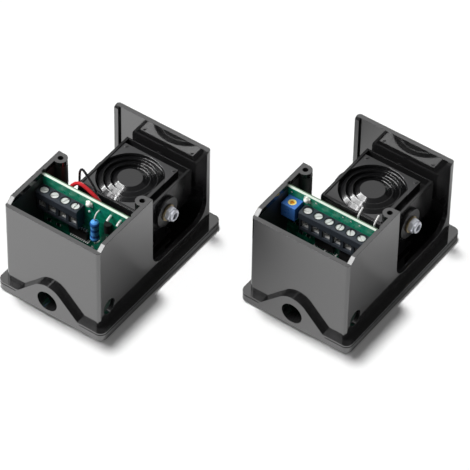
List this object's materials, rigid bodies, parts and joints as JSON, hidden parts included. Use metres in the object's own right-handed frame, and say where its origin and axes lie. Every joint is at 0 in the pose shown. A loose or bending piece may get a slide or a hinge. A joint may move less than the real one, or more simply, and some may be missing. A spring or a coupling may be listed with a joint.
{
  "type": "gate safety photocell",
  "caption": "Pair of through-beam gate photocells, covers off: a transmitter and a receiver, each with a tilting ringed lens head, a board and screw terminals.",
  "frame": {"origin": "centre of the pair's bounding box, on the mounting plane", "axes": "+Z out of the mounting face, +Y from the cable entry wall to the tall back wall, +X across the units from the transmitter to the receiver"},
  "size_m": [0.1336, 0.1322, 0.0481],
  "materials": {
    "tx_housing": "moulded, mirror gloss",
    "tx_yoke": "moulded, satin",
    "tx_yoke_screws": "zinc plated",
    "tx_head_shell": "moulded, mirror gloss",
    "tx_lens": "moulded, mirror gloss",
    "tx_optic_board": "green solder mask",
    "tx_emitter": "clear blue tinted epoxy",
    "tx_pivot_bolt": "zinc plated",
    "tx_washer": "yellow passivated",
    "tx_lock_nut": "zinc plated",
    "tx_board": "green solder mask",
    "tx_terminal_block": "slate nylon",
    "tx_terminal_screws": "nickel plated",
    "tx_terminal_cages": "nickel plated",
    "tx_led": "milky white",
    "tx_resistor": "lacquered light blue with bands",
    "tx_resistor_lead": "nickel plated",
    "tx_chip": "moulded black epoxy",
    "tx_chip_pins": "nickel plated",
    "tx_transistor": "moulded black epoxy",
    "tx_solder_stubs": "solder",
    "tx_red_wire": "red insulation",
    "tx_dark_wire": "dark grey insulation",
    "rx_housing": "moulded, mirror gloss",
    "rx_yoke": "moulded, satin",
    "rx_yoke_screws": "zinc plated",
    "rx_head_shell": "moulded, mirror gloss",
    "rx_lens": "moulded, mirror gloss",
    "rx_optic_board": "green solder mask",
    "rx_photodiode": "dark filter epoxy",
    "rx_pivot_bolt": "zinc plated",
    "rx_washer": "yellow passivated",
    "rx_lock_nut": "zinc plated",
    "rx_board": "green solder mask",
    "rx_terminal_block_a": "slate nylon",
    "rx_terminal_block_b": "slate nylon",
    "rx_terminal_screws": "nickel plated",
    "rx_terminal_cages": "nickel plated",
    "rx_led": "milky white",
    "rx_trimmer_body": "blue moulding",
    "rx_trimmer_rotor": "yellow orange",
    "rx_leads": "nickel plated",
    "rx_chip": "moulded black epoxy",
    "rx_chip_pins": "nickel plated",
    "rx_relay": "white case"
  },
  "bodies": {
    "bases": {"tx_housing": "tx_housing", "tx_yoke": "tx_yoke", "tx_yoke_screws": "tx_yoke_screws", "tx_pivot_bolt": "tx_pivot_bolt", "tx_washer": "tx_washer", "tx_lock_nut": "tx_lock_nut", "tx_board": "tx_board", "tx_terminal_block": "tx_terminal_block", "tx_terminal_screws": "tx_terminal_screws", "tx_terminal_cages": "tx_terminal_cages", "tx_led": "tx_led", "tx_resistor": "tx_resistor", "tx_resistor_lead": "tx_resistor_lead", "tx_chip": "tx_chip", "tx_chip_pins": "tx_chip_pins", "tx_transistor": "tx_transistor", "tx_solder_stubs": "tx_solder_stubs", "tx_red_wire": "tx_red_wire", "tx_dark_wire": "tx_dark_wire", "rx_housing": "rx_housing", "rx_yoke": "rx_yoke", "rx_yoke_screws": "rx_yoke_screws", "rx_pivot_bolt": "rx_pivot_bolt", "rx_washer": "rx_washer", "rx_lock_nut": "rx_lock_nut", "rx_board": "rx_board", "rx_terminal_block_a": "rx_terminal_block_a", "rx_terminal_block_b": "rx_terminal_block_b", "rx_terminal_screws": "rx_terminal_screws", "rx_terminal_cages": "rx_terminal_cages", "rx_led": "rx_led", "rx_trimmer_body": "rx_trimmer_body", "rx_leads": "rx_leads", "rx_chip": "rx_chip", "rx_chip_pins": "rx_chip_pins", "rx_relay": "rx_relay"},
    "tx_head": {"tx_head_shell": "tx_head_shell", "tx_lens": "tx_lens", "tx_optic_board": "tx_optic_board", "tx_emitter": "tx_emitter"},
    "rx_head": {"rx_head_shell": "rx_head_shell", "rx_lens": "rx_lens", "rx_optic_board": "rx_optic_board", "rx_photodiode": "rx_photodiode"},
    "trimmer": {"rx_trimmer_rotor": "rx_trimmer_rotor"}
  },
  "joints": [
    {"name": "tx_tilt", "type": "hinge", "parent": "bases", "child": "tx_head", "pos_m": [-0.0407, -0.01085, 0.0228], "axis": [1, 0, 0], "range_deg": [-5, 15]},
    {"name": "rx_tilt", "type": "hinge", "parent": "bases", "child": "rx_head", "pos_m": [0.0407, 0.04095, 0.0228], "axis": [1, 0, 0], "range_deg": [-5, 15]},
    {"name": "trimmer_turn", "type": "hinge", "parent": "bases", "child": "trimmer", "pos_m": [0.0238, 0.00735, 0.0415], "axis": [0, 0, 1], "range_deg": [-135, 135]}
  ]
}
